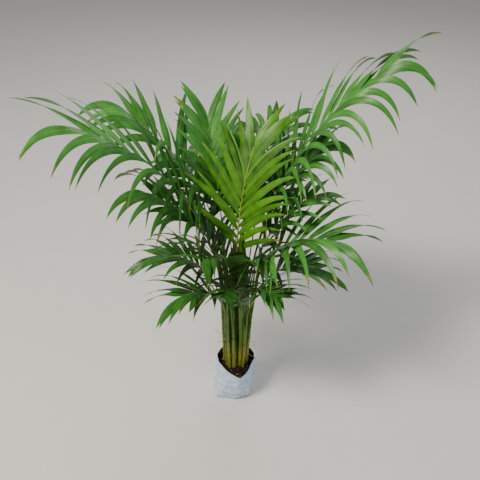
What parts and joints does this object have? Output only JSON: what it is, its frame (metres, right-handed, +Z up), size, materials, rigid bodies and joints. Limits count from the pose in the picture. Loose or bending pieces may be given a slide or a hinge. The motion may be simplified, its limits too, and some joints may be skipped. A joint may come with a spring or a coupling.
{
  "type": "potted palm",
  "caption": "Young feather-leaved palm clump: sheathed canes carry arching fronds of long leaflets above a filled soft film grow bag with a flat foot.",
  "frame": {"origin": "middle of the bag's foot, on the surface it stands on", "axes": "+Z up along the canes, -Y towards the viewer and the bag's open crease, +X to the viewer's right"},
  "size_m": [1.127, 0.7612, 1.1678],
  "materials": {
    "bag_film": "satin",
    "potting_mix": "matte",
    "cane_sheath": "satin",
    "mature_leaf": "satin",
    "young_leaf": "satin"
  },
  "bodies": {
    "root": {"grow_bag": "bag_film", "potting_mix": "potting_mix", "cane_1": "cane_sheath", "cane_10": "cane_sheath", "cane_11": "cane_sheath", "cane_12": "cane_sheath", "cane_13": "cane_sheath", "cane_2": "cane_sheath", "cane_3": "cane_sheath", "cane_4": "cane_sheath", "cane_5": "cane_sheath", "cane_6": "cane_sheath", "cane_7": "cane_sheath", "cane_8": "cane_sheath", "cane_9": "cane_sheath", "frond_back_fan": "mature_leaf", "frond_back_left_low": "mature_leaf", "frond_back_mid": "mature_leaf", "frond_back_right": "mature_leaf", "frond_back_right_low": "mature_leaf", "frond_front_left_small": "mature_leaf", "frond_front_low": "mature_leaf", "frond_front_mid": "mature_leaf", "frond_front_right_low": "mature_leaf", "frond_front_right_mid": "mature_leaf", "frond_front_right_small": "mature_leaf", "frond_left_inner": "mature_leaf", "frond_left_long": "mature_leaf", "frond_left_low": "mature_leaf", "frond_left_mid": "mature_leaf", "frond_left_tall": "mature_leaf", "frond_left_under": "mature_leaf", "frond_right_inner": "mature_leaf", "frond_right_long": "mature_leaf", "frond_right_low": "mature_leaf", "frond_right_second": "mature_leaf", "frond_right_under": "mature_leaf", "frond_young_front": "young_leaf"}
  },
  "joints": []
}
